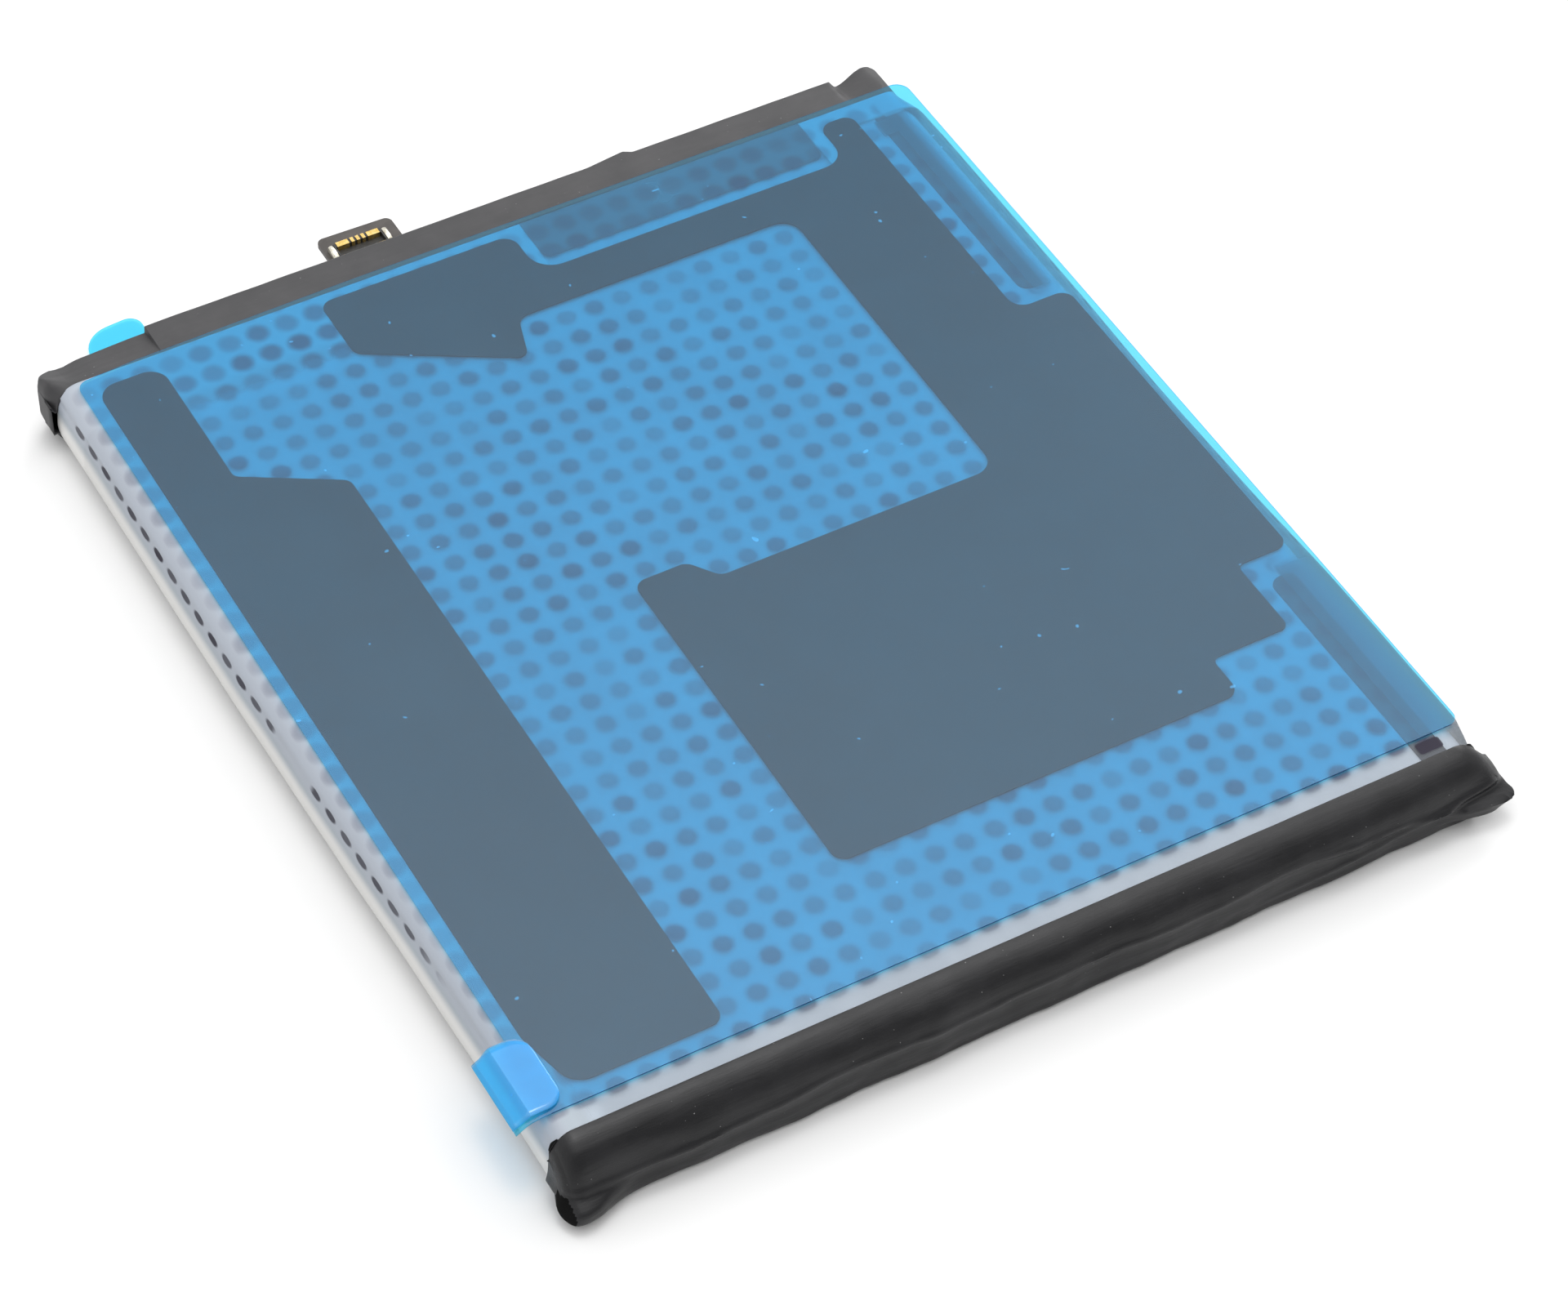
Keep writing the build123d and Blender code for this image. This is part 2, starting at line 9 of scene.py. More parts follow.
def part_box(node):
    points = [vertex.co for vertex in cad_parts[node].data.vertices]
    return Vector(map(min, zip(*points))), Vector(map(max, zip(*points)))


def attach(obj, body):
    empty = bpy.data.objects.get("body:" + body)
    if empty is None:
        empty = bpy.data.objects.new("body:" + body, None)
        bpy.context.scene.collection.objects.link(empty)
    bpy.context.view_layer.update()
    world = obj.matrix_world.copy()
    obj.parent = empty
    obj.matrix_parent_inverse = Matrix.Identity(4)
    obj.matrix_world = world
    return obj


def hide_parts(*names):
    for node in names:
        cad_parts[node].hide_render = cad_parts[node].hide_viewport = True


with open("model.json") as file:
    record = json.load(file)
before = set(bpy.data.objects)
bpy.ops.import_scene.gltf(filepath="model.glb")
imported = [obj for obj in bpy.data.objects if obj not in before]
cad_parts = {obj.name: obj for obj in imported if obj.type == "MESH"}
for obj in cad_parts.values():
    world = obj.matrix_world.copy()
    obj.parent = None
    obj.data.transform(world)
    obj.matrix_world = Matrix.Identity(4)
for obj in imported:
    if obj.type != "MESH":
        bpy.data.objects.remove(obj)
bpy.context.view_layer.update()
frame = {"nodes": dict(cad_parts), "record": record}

scene = bpy.context.scene
MM = 0.001

# ---------------------------------------------------------------- camera, matched to the photograph
cam_data = bpy.data.cameras.new("camera")
cam = bpy.data.objects.new("camera", cam_data)
scene.collection.objects.link(cam)
cam_data.sensor_fit = "HORIZONTAL"
cam_data.sensor_width = 36.0
cam_data.lens = 108.85
cam_data.clip_start = 0.01
forward = Vector((0.34040722, 0.58441911, -0.73659842)).normalized()
up = Vector((0.3510498, 0.64774726, 0.67615644))
right = forward.cross(up).normalized()
up = right.cross(forward).normalized()
place = Matrix((right, up, -forward)).transposed().to_4x4()
place.translation = (-0.09824, -0.17458, 0.21438)
cam.matrix_world = place
scene.camera = cam


# ---------------------------------------------------------------- material helpers
class Nodes:
    """Short names for building one material's node tree."""

    def __init__(self, name):
        self.mat = bpy.data.materials.new(name)
        self.mat.use_nodes = True
        self.tree = self.mat.node_tree
        self.tree.nodes.clear()
        self.out = self.tree.nodes.new("ShaderNodeOutputMaterial")

    def add(self, kind, **props):
        node = self.tree.nodes.new("ShaderNode" + kind)
        for key, value in props.items():
            setattr(node, key, value)
        return node

    def put(self, socket, value):
        if isinstance(value, bpy.types.NodeSocket):
            self.tree.links.new(value, socket)
        else:
            socket.default_value = value

    def math(self, op, a, b=0.0, c=0.0, clamp=False):
        node = self.add("Math", operation=op, use_clamp=clamp)
        for i, value in enumerate((a, b, c)):
            self.put(node.inputs[i], value)
        return node.outputs[0]

    def step(self, value, low, high):
        """Smooth step from 0 at low to 1 at high."""
        node = self.add("MapRange", interpolation_type="SMOOTHSTEP", clamp=True)
        self.put(node.inputs["Value"], value)
        self.put(node.inputs["From Min"], low)
        self.put(node.inputs["From Max"], high)
        return node.outputs["Result"]

    def mix(self, fac, a, b):
        node = self.add("Mix", data_type="RGBA")
        self.put(node.inputs["Factor"], fac)
        self.put(node.inputs["A"], a)
        self.put(node.inputs["B"], b)
        return node.outputs["Result"]

    def coords(self):
        """Position in millimetres."""
        tc = self.add("TexCoord")
        scale = self.add("VectorMath", operation="SCALE")
        self.put(scale.inputs[0], tc.outputs["Object"])
        scale.inputs["Scale"].default_value = 1000.0
        return scale.outputs[0]

    def split(self, vector):
        node = self.add("SeparateXYZ")
        self.put(node.inputs[0], vector)
        return node.outputs

    def join(self, x, y, z=0.0):
        node = self.add("CombineXYZ")
        for i, value in enumerate((x, y, z)):
            self.put(node.inputs[i], value)
        return node.outputs[0]

    def noise(self, vector, scale, detail=3.0, rough=0.5):
        node = self.add("TexNoise")
        self.put(node.inputs["Vector"], vector)
        node.inputs["Scale"].default_value = scale
        node.inputs["Detail"].default_value = detail
        node.inputs["Roughness"].default_value = rough
        return node.outputs["Fac"]

    def stretch(self, vector, x, y, z):
        node = self.add("Mapping")
        self.put(node.inputs["Vector"], vector)
        node.inputs["Scale"].default_value = (x, y, z)
        return node.outputs[0]

    def bump(self, height, strength, distance):
        node = self.add("Bump")
        self.put(node.inputs["Height"], height)
        node.inputs["Strength"].default_value = strength
        node.inputs["Distance"].default_value = distance * MM
        return node.outputs["Normal"]

    def sheen(self, straight):
        """Share of light that a thin film reflects, alike from both sides and more at a glancing angle."""
        weight = self.add("LayerWeight")
        weight.inputs["Blend"].default_value = 0.5
        glance = self.math("POWER", weight.outputs["Facing"], 5.0)
        return self.math("MULTIPLY_ADD", glance, 1.0 - straight, straight)

    def finish(self, shader):
        self.tree.links.new(shader, self.out.inputs["Surface"])
        return self.mat


def rgb(r, g, b):
    return (r, g, b, 1.0)


def plain_finish(
    name, dark, light, rough=(0.35, 0.6), metal=0.0, scale=0.8, stretch=(1, 1, 1), bump=0.3, fine=6.0, spec=0.5
):
    """Opaque finish with mottled colour, uneven roughness and a fine surface grain."""
    m = Nodes(name)
    p = m.coords()
    long = m.stretch(p, *stretch)
    n = m.noise(long, scale, 4.0, 0.55)
    f = m.noise(long, fine, 2.0, 0.6)
    shader = m.add("BsdfPrincipled")
    m.put(shader.inputs["Base Color"], m.mix(m.step(n, 0.3, 0.7), rgb(*dark), rgb(*light)))
    low, high = rough
    m.put(shader.inputs["Roughness"], m.math("MULTIPLY_ADD", f, high - low, low))
    shader.inputs["Metallic"].default_value = metal
    shader.inputs["Specular IOR Level"].default_value = spec
    m.put(shader.inputs["Normal"], m.bump(f, bump, 0.02))
    return m.finish(shader.outputs[0])


def tape_finish(name, dark, light, rough, crease, gloss):
    """Thin black plastic tape: satin sheen, stretch marks and specks of dust."""
    m = Nodes(name)
    p = m.coords()
    cloud = m.noise(p, 0.35, 4.0, 0.6)
    marks = m.noise(m.stretch(p, 0.25, 2.2, 2.2), 0.9, 5.0, 0.62)
    grain = m.noise(p, 18.0, 2.0, 0.6)
    dust = m.step(m.noise(p, 7.0, 0.0), 0.86, 0.9)
    shader = m.add("BsdfPrincipled")
    base = m.mix(m.step(cloud, 0.3, 0.75), rgb(*dark), rgb(*light))
    m.put(shader.inputs["Base Color"], m.mix(m.math("MULTIPLY", dust, 0.5), base, rgb(0.3, 0.3, 0.3)))
    m.put(shader.inputs["Roughness"], m.math("MULTIPLY_ADD", marks, 0.22, rough))
    shader.inputs["Specular IOR Level"].default_value = gloss
    height = m.math("ADD", m.math("MULTIPLY", marks, 0.8), m.math("MULTIPLY", grain, 0.12))
    m.put(shader.inputs["Normal"], m.bump(height, crease, 0.06))
    return m.finish(shader.outputs[0])


def liner_finish(name, tint, body, haze, flaws=True):
    """Glossy translucent blue film: tints what lies under it, with a faint haze and fine scratches."""
    m = Nodes(name)
    p = m.coords()
    wave = m.noise(m.stretch(p, 1.0, 0.6, 1.0), 0.09, 2.0, 0.5)
    ripple = m.noise(p, 0.4, 2.0, 0.5)
    scratch = m.noise(m.stretch(p, 3.0, 0.35, 1.0), 1.6, 6.0, 0.7)
    clear = m.add("BsdfTransparent")
    clear.inputs["Color"].default_value = rgb(*tint)
    milk = m.add("BsdfDiffuse")
    milk.inputs["Color"].default_value = rgb(*body)
    cover = m.math("MULTIPLY_ADD", ripple, haze * 0.3, haze * 0.85)
    if flaws:
        specks = m.step(m.noise(p, 1.7, 0.0), 0.872, 0.886)
        lines = m.step(scratch, 0.73, 0.76)
        cover = m.math("MULTIPLY_ADD", specks, 0.3, cover, clamp=True)
        cover = m.math("MULTIPLY_ADD", lines, 0.06, cover, clamp=True)
    inner = m.add("MixShader")
    m.put(inner.inputs[0], cover)
    m.tree.links.new(clear.outputs[0], inner.inputs[1])
    m.tree.links.new(milk.outputs[0], inner.inputs[2])
    gloss = m.add("BsdfGlossy")
    m.put(gloss.inputs["Roughness"], m.math("MULTIPLY_ADD", scratch, 0.1, 0.14))
    m.put(gloss.inputs["Normal"], m.bump(m.math("ADD", wave, m.math("MULTIPLY", ripple, 0.02)), 0.12, 0.6))
    outer = m.add("MixShader")
    m.put(outer.inputs[0], m.sheen(0.08))
    m.tree.links.new(inner.outputs[0], outer.inputs[1])
    m.tree.links.new(gloss.outputs[0], outer.inputs[2])
    return m.finish(outer.outputs[0])


# the film's pattern in unrolled millimetres: dot pitch, one dot's place, the column of dashes and the edge strips
PITCH, DOT_U, DOT_V = 2.0, 0.5, -0.4
DASH_U, STRIP_U = 31.25, 28.3
# middle of the head tape's flap on the front, and how far its edges are from there
FLAP_U, FLAP_EDGE = 12.3, (10.35, 10.55)


def film_finish(name):
    """Frosted silver-grey film with a square lattice of dark adhesive dots, each darker at its core."""
    m = Nodes(name)
    uv = m.add("UVMap", uv_map="pattern").outputs[0]
    u, v, _ = m.split(uv)
    p = m.coords()
    cell_u = m.math("FLOOR", m.math("MULTIPLY_ADD", u, 1 / PITCH, 0.5 - DOT_U / PITCH))
    cell_v = m.math("FLOOR", m.math("MULTIPLY_ADD", v, 1 / PITCH, 0.5 - DOT_V / PITCH))
    du = m.math("SUBTRACT", u, m.math("MULTIPLY_ADD", cell_u, PITCH, DOT_U))
    dv = m.math("SUBTRACT", v, m.math("MULTIPLY_ADD", cell_v, PITCH, DOT_V))
    wobble = m.math("MULTIPLY_ADD", m.noise(p, 1.1, 2.0), 0.2, -0.1)
    chance = m.add("TexWhiteNoise", noise_dimensions="2D")
    m.put(chance.inputs["Vector"], m.join(cell_u, cell_v))
    luck = chance.outputs["Value"]
    drift = m.step(m.noise(m.join(cell_u, cell_v), 0.16, 1.0), 0.3, 0.7)
    parity = m.math("MODULO", m.math("ABSOLUTE", m.math("ADD", cell_u, cell_v)), 2.0)
    # on the top: round soft dots
    flat = m.add("VectorMath", operation="LENGTH")
    m.put(flat.inputs[0], m.join(du, dv))
    radius = m.math("ADD", flat.outputs["Value"], wobble)
    core = m.step(radius, 0.92, 0.42)
    dots = m.math("MULTIPLY_ADD", core, 0.5, m.math("MULTIPLY", m.step(radius, 1.02, 0.68), 0.35))
    weight = m.math("MULTIPLY_ADD", luck, 0.28, m.math("MULTIPLY_ADD", drift, 0.3, 0.3))
    dots = m.math("MULTIPLY", dots, m.math("MULTIPLY_ADD", parity, 0.12, weight))
    # past the shoulder: one faint column, then one column of thin black dashes with a bare stretch
    outward = m.math("ABSOLUTE", u)
    dots = m.math("MULTIPLY", dots, m.math("MULTIPLY_ADD", m.step(outward, 28.4, 29.0), -0.55, 1.0))
    dots = m.math("MULTIPLY", dots, m.step(outward, 30.4, 30.2))
    thin = m.add("VectorMath", operation="LENGTH")
    across = m.math("ADD", outward, -DASH_U)
    m.put(thin.inputs[0], m.join(m.math("MULTIPLY", across, 2.3), m.math("MULTIPLY", dv, 0.8)))
    dash = m.step(m.math("ADD", thin.outputs["Value"], wobble), 0.66, 0.42)
    dash = m.math("MULTIPLY", dash, m.step(m.math("ABSOLUTE", across), 0.8, 0.6))
    dash = m.math("MULTIPLY", dash, m.step(m.math("ABSOLUTE", m.math("ADD", v, 1.4)), 2.2, 2.9))
    dash = m.math("MULTIPLY", dash, m.math("MULTIPLY", m.step(v, -21.5, -17.0), m.step(v, 30.8, 30.5)))
    dash = m.math("MULTIPLY", dash, m.math("MULTIPLY_ADD", luck, 0.2, 0.8))
    cloud = m.noise(p, 0.2, 2.0, 0.4)
    frost = m.noise(p, 9.0, 3.0, 0.6)
    pale = m.mix(m.step(cloud, 0.3, 0.7), rgb(0.23, 0.26, 0.295), rgb(0.27, 0.30, 0.335))
    pale = m.mix(m.math("MULTIPLY", m.step(v, -32.2, -33.2), 0.65), pale, rgb(0.1, 0.11, 0.125))
    # painted shade where the film sags away beside the edge strips on the right shoulder, less of it in the gap
    # between the strips, and at their far end
    slack = m.math("MULTIPLY", m.step(u, 28.0, 28.4), m.step(u, 32.0, 31.4))
    shade_gap = m.math("MULTIPLY", m.step(u, 29.2, 29.9), m.step(v, -9.0, 0.0))
    slack = m.math("MULTIPLY", slack, m.math("MULTIPLY_ADD", shade_gap, -0.5, 1.0))
    slack = m.math("MULTIPLY", slack, m.step(m.math("ABSOLUTE", m.math("ADD", v, 2.5)), 13.0, 14.5))
    slack = m.math("MULTIPLY", slack, m.step(v, -32.6, -32.2))
    beside = m.step(m.math("ABSOLUTE", m.math("SUBTRACT", u, STRIP_U)), 1.3, 0.9)
    strip_end = m.math("MULTIPLY", beside, m.step(v, 28.6, 29.2))
    slack = m.math("MAXIMUM", slack, m.math("MULTIPLY", strip_end, m.step(v, 31.0, 30.4)))
    pale = m.mix(m.math("MULTIPLY", slack, 0.8), pale, rgb(0.09, 0.1, 0.12))
    dots = m.math("MULTIPLY", dots, m.math("MULTIPLY_ADD", slack, -0.85, 1.0))
    # paler film towards the far right, in the gap between the strips where less shade is painted
    far_right = m.math("MULTIPLY", m.math("MULTIPLY", m.step(u, 29.3, 30.1), m.step(v, -9.0, 0.0)), 0.8)
    pale = m.mix(far_right, pale, rgb(0.34, 0.385, 0.43))
    # doubled film over the far end and the left shoulder, but not over the flap; its border is a little paler
    off_flap = m.step(m.math("ABSOLUTE", m.math("SUBTRACT", u, FLAP_U)), *FLAP_EDGE)
    doubled = m.math("MULTIPLY", m.step(v, 25.6, 29.2), off_flap)
    doubled = m.math("MULTIPLY", doubled, m.math("MAXIMUM", m.step(u, 26.6, 25.8), m.step(v, 30.6, 31.2)))
    doubled = m.math("MAXIMUM", doubled, m.math("MULTIPLY", m.step(u, -26.6, -28.8), 0.92))
    halfway = m.math("MULTIPLY", m.math("MULTIPLY", doubled, m.math("SUBTRACT", 1.0, doubled)), 3.0)
    pale = m.mix(doubled, pale, rgb(0.31, 0.353, 0.398))
    pale = m.mix(halfway, pale, rgb(0.37, 0.415, 0.46))
    pale = m.mix(m.math("MULTIPLY", m.step(u, -29.2, -30.0), m.step(u, -32.0, -31.4)), pale, rgb(0.33, 0.36, 0.41))
    dots = m.math("MULTIPLY", dots, m.math("MULTIPLY_ADD", m.step(v, 30.0, 31.0), -0.2, 1.0))
    dots = m.math("MULTIPLY", dots, m.step(v, -33.05, -32.75))
    # the side walls are paler
    pale = m.mix(m.step(outward, 31.8, 33.0), pale, rgb(0.67, 0.665, 0.65))
    dark = m.mix(core, rgb(0.07, 0.075, 0.11), rgb(0.04, 0.036, 0.075))
    shader = m.add("BsdfPrincipled")
    ink = m.mix(m.math("MULTIPLY", dots, 1.25, clamp=True), pale, dark)
    # dark end of the edge strip's tag, and a painted highlight on the film's edge where the end tape stops
    off_u = m.math("MAXIMUM", m.math("SUBTRACT", m.math("ABSOLUTE", m.math("SUBTRACT", u, 28.35)), 0.6), 0.0)
    off_v = m.math("MAXIMUM", m.math("SUBTRACT", m.math("ABSOLUTE", m.math("ADD", v, 33.15)), 0.22), 0.0)
    tag = m.add("VectorMath", operation="LENGTH")
    m.put(tag.inputs[0], m.join(off_u, off_v))
    dash = m.math("MAXIMUM", dash, m.step(tag.outputs["Value"], 0.3, 0.16))
    lip_highlight = m.step(v, -33.92, -33.96)
    ink = m.mix(dash, ink, rgb(0.02, 0.017, 0.03))
    m.put(shader.inputs["Base Color"], m.mix(lip_highlight, ink, rgb(0.86, 0.87, 0.9)))
    m.put(shader.inputs["Roughness"], m.math("MULTIPLY_ADD", frost, 0.15, 0.34))
    m.put(shader.inputs["Specular IOR Level"], m.math("MULTIPLY_ADD", dash, -0.38, 0.5))
    m.put(shader.inputs["Normal"], m.bump(m.math("MULTIPLY_ADD", frost, 0.15, dots), 0.15, 0.03))
    clear = m.add("BsdfTransparent")
    clear.inputs["Color"].default_value = rgb(0.90, 0.925, 0.95)
    mixer = m.add("MixShader")
    # how much the film hides: more at the dots, the painted shade beside the strips, the doubled parts, the flap and
    # the walls
    cover = m.math("MULTIPLY_ADD", m.math("MULTIPLY", dots, core), 0.42, 0.36, clamp=True)
    cover = m.math("MAXIMUM", cover, m.math("MULTIPLY", slack, 0.7))
    cover = m.math("MAXIMUM", cover, m.math("MULTIPLY", doubled, 0.99))
    over_flap = m.math("MULTIPLY", m.math("SUBTRACT", 1.0, off_flap), m.step(v, 29.1, 29.5))
    cover = m.math("MAXIMUM", cover, m.math("MULTIPLY", over_flap, 0.48))
    cover = m.math("MAXIMUM", cover, m.math("MULTIPLY", m.step(outward, 30.2, 31.4), 0.85))
    cover = m.math("MAXIMUM", cover, m.math("MAXIMUM", m.math("MULTIPLY", dash, 0.95), lip_highlight))
    m.put(mixer.inputs[0], cover)
    m.tree.links.new(clear.outputs[0], mixer.inputs[1])
    m.tree.links.new(shader.outputs[0], mixer.inputs[2])
    return m.finish(mixer.outputs[0])


def clear_finish(name):
    """The liners' inner face: clear, with a trace of haze."""
    m = Nodes(name)
    p = m.coords()
    clear = m.add("BsdfTransparent")
    clear.inputs["Color"].default_value = rgb(0.99, 0.99, 0.99)
    milk = m.add("BsdfDiffuse")
    milk.inputs["Color"].default_value = rgb(0.6, 0.62, 0.65)
    mixer = m.add("MixShader")
    m.put(mixer.inputs[0], m.math("MULTIPLY", m.noise(p, 2.0, 2.0), 0.04))
    m.tree.links.new(clear.outputs[0], mixer.inputs[1])
    m.tree.links.new(milk.outputs[0], mixer.inputs[2])
    return m.finish(mixer.outputs[0])


# ---------------------------------------------------------------- mesh helpers
def build(name, verts, faces, body, nodes, mats, uvs=None, face_mats=None, angle=40):
    """One mesh object in millimetres, riding on a body and standing for CAD nodes."""
    mesh = bpy.data.meshes.new(name)
    mesh.from_pydata([Vector(v) * MM for v in verts], [], faces)
    mesh.validate()
    for mat in mats:
        mesh.materials.append(mat)
    if face_mats:
        for poly, index in zip(mesh.polygons, face_mats):
            poly.material_index = index
    if uvs:
        layer = mesh.uv_layers.new(name="pattern")
        for loop in mesh.loops:
            layer.data[loop.index].uv = uvs[loop.vertex_index]
    bm = bmesh.new()
    bm.from_mesh(mesh)
    bmesh.ops.recalc_face_normals(bm, faces=bm.faces)
    bm.to_mesh(mesh)
    bm.free()
    obj = bpy.data.objects.new(name, mesh)
    scene.collection.objects.link(obj)
    mesh.shade_smooth()
    mesh.set_sharp_from_angle(angle=math.radians(angle))
    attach(obj, body)
    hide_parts(*nodes)
    return obj


def thicken(obj, thickness, offset, inner, rim):
    """Give a sheet its thickness; inner and rim say how many material slots on from the face's own they lie."""
    skin = obj.modifiers.new("thickness", "SOLIDIFY")
    skin.thickness = thickness * MM
    skin.offset = offset
    skin.material_offset = inner
    skin.material_offset_rim = rim


def grid(rows, start=0):
    """Quads over rows of points, each row the same length; returns (points, quads)."""
    points = [p for row in rows for p in row]
    width = len(rows[0])
    quads = []
    for i in range(len(rows) - 1):
        for j in range(width - 1):
            a = start + i * width + j
            quads.append((a, a + 1, a + 1 + width, a + width))
    return points, quads


def arc(cx, cy, r, a0, a1, n):
    """Points on an arc between two angles in degrees."""
    out = []
    for i in range(n + 1):
        a = math.radians(a0 + (a1 - a0) * i / n)
        out.append((cx + r * math.cos(a), cy + r * math.sin(a)))
    return out


def spread(a, b, n):
    """The ends of n equal steps from a to b."""
    return [a + (b - a) * i / n for i in range(n + 1)]


def rounded_path(corners, n=6):
    """Closed outline through (x, y, radius) corners with tangent arcs."""
    out = []
    count = len(corners)
    for i in range(count):
        x, y, r = corners[i]
        here = Vector((x, y))
        before = (Vector(corners[i - 1][:2]) - here).normalized()
        after = (Vector(corners[(i + 1) % count][:2]) - here).normalized()
        if r == 0:
            out.append((x, y))
            continue
        half = before.angle(after) / 2
        centre = here + (before + after).normalized() * (r / math.sin(half))
        start = here + before * (r / math.tan(half))
        end = here + after * (r / math.tan(half))
        a0 = math.atan2(start.y - centre.y, start.x - centre.x)
        turn = math.atan2(end.y - centre.y, end.x - centre.x) - a0
        turn = (turn + math.pi) % (2 * math.pi) - math.pi
        for k in range(n + 1):
            a = a0 + turn * k / n
            out.append((centre.x + r * math.cos(a), centre.y + r * math.sin(a)))
    return out


def smooth01(t):
    """Smooth step from 0 at 0 to 1 at 1."""
    t = max(0.0, min(1.0, t))
    return t * t * (3 - 2 * t)


def wander(x, y, z, scale, seed=0.0):
    """Smooth noise around 0, the same at every run."""
    return noise.noise(Vector((x * scale + seed, y * scale, z * scale)))


def lerp_table(table, x):
    """Smooth value at x from rising (x, value) pairs."""
    if x <= table[0][0]:
        return table[0][1]
    for (x0, v0), (x1, v1) in zip(table, table[1:]):
        if x <= x1:
            return v0 + (v1 - v0) * smooth01((x - x0) / (x1 - x0))
    return table[-1][1]


def lean_in(x, y):
    """The left wall stands half a millimetre further in at the near end."""
    side = max(0.0, min(1.0, (-x - 28.6) / 2.2))
    return x + 0.5 * side * smooth01((12.0 - y) / 46.0)


# ---------------------------------------------------------------- finishes
film_mat = film_finish("film_dots")
liner_mat = liner_finish("blue_liner", (0.1, 0.725, 1.0), (0.07, 0.5, 1.0), 0.03)
tab_mat = liner_finish("blue_liner_tab", (0.11, 0.77, 1.0), (0.02, 0.41, 0.95), 0.42, False)
# painted shade: a darker, clearer copy of the tab's finish for its slope
tab_slope_shade_mat = liner_finish("blue_liner_fold_shade", (0.09, 0.77, 1.0), (0.01, 0.38, 0.92), 0.32, False)
# painted shade for the dark rim along the liner's near edge
edge_shade_mat = liner_finish("blue_liner_edge_shade", (0.03, 0.16, 0.4), (0.01, 0.05, 0.2), 0.5, False)
inner_face = clear_finish("liner_underside")
rear_mat = liner_finish("blue_liner_rear", (0.1, 0.81, 1.0), (0.1, 0.7, 1.0), 0.04, False)
near_tape_mat = tape_finish("near_tape", (0.004, 0.004, 0.005), (0.010, 0.010, 0.0115), 0.27, 0.7, 0.36)
head_tape_mat = tape_finish("head_tape", (0.0245, 0.0242, 0.0262), (0.035, 0.034, 0.0362), 0.45, 0.3, 0.5)
# the tape's inside, also used as painted shade in the loose fold's opening
inside_and_fold_shade_mat = tape_finish("tape_inside_and_fold_shade", (0.003, 0.003, 0.003), (0.005, 0.005, 0.005), 0.6, 0.3, 0.05)
adhesive_mat = plain_finish(
    "adhesive", (0.010, 0.011, 0.013), (0.018, 0.019, 0.021), (0.45, 0.55), 0, 0.12, (1, 1, 1), 0.01, 3.0, 0.25
)
strip_mat = plain_finish(
    "edge_strip", (0.015, 0.014, 0.02), (0.03, 0.028, 0.038), (0.4, 0.6), 0, 0.3, (1, 1, 1), 0.2, 4.0, 0.3
)
foil_mat = plain_finish(
    "laminate", (0.54, 0.585, 0.64), (0.60, 0.645, 0.70), (0.4, 0.55), 0.1, 0.3, (1, 0.4, 1), 0.1, 1.5
)
seal_mat = plain_finish("weld_film", (0.70, 0.69, 0.62), (0.82, 0.81, 0.75), (0.4, 0.6), 0, 0.6)
anode_mat = plain_finish("graphite", (0.02, 0.019, 0.018), (0.05, 0.045, 0.042), (0.5, 0.8), 0.1, 1.2)
cathode_mat = plain_finish("oxide", (0.012, 0.012, 0.014), (0.03, 0.03, 0.034), (0.6, 0.8), 0, 1.2)
separator_mat = plain_finish("separator", (0.78, 0.78, 0.76), (0.88, 0.88, 0.87), (0.5, 0.7), 0, 0.8)
aluminium_mat = plain_finish(
    "aluminium_strip", (0.62, 0.62, 0.63), (0.8, 0.8, 0.81), (0.2, 0.45), 1.0, 1.5, (1, 8, 8)
)
nickel_mat = plain_finish("nickel", (0.52, 0.5, 0.47), (0.68, 0.66, 0.62), (0.2, 0.45), 1.0, 1.5, (8, 1, 1))
board_mat = plain_finish("board", (0.012, 0.05, 0.03), (0.02, 0.08, 0.045), (0.25, 0.5), 0, 2.0)
chip_mat = plain_finish(
    "moulded_resin", (0.012, 0.012, 0.012), (0.028, 0.028, 0.028), (0.45, 0.7), 0, 2.5, (1, 1, 1), 0.4, 14.0
)
ceramic_mat = plain_finish("ceramic_chip", (0.32, 0.27, 0.2), (0.46, 0.4, 0.31), (0.3, 0.5), 0, 3.0)
foam_mat = plain_finish("foam", (0.015, 0.015, 0.015), (0.04, 0.04, 0.04), (0.8, 0.95), 0, 4.0, (1, 1, 1), 0.9, 9.0)
flex_mat = plain_finish(
    "coverlay", (0.034, 0.029, 0.026), (0.055, 0.048, 0.043), (0.35, 0.55), 0, 1.0, (1, 1, 1), 0.2, 8.0
)
fitting_mat = plain_finish("tinned", (0.5, 0.47, 0.38), (0.85, 0.82, 0.72), (0.2, 0.4), 0.8, 3.0)
gold_mat = plain_finish("gold_plate", (0.75, 0.5, 0.14), (0.95, 0.72, 0.3), (0.12, 0.3), 1.0, 4.0)

finishes = {
    "film": film_mat,
    "laminate": foil_mat,
    "polymer_seal": seal_mat,
    "anode": anode_mat,
    "cathode": cathode_mat,
    "separator": separator_mat,
    "aluminium_tab": aluminium_mat,
    "nickel": nickel_mat,
    "black_tape": head_tape_mat,
    "board": board_mat,
    "chip_black": chip_mat,
    "chip_ceramic": ceramic_mat,
    "foam": foam_mat,
    "adhesive": adhesive_mat,
    "blue_liner": liner_mat,
    "flex_circuit": flex_mat,
    "fitting_metal": fitting_mat,
    "gold": gold_mat,
}
for part in frame["record"]["subparts"]:
    node = frame["nodes"][part["node"]]
    for index in range(len(node.data.materials)):
        node.material_slots[index].link = "OBJECT"
        node.material_slots[index].material = finishes[part["material_slot"]]
for name in ("edge_strip_upper", "edge_strip_lower"):
    frame["nodes"][name].material_slots[0].material = strip_mat


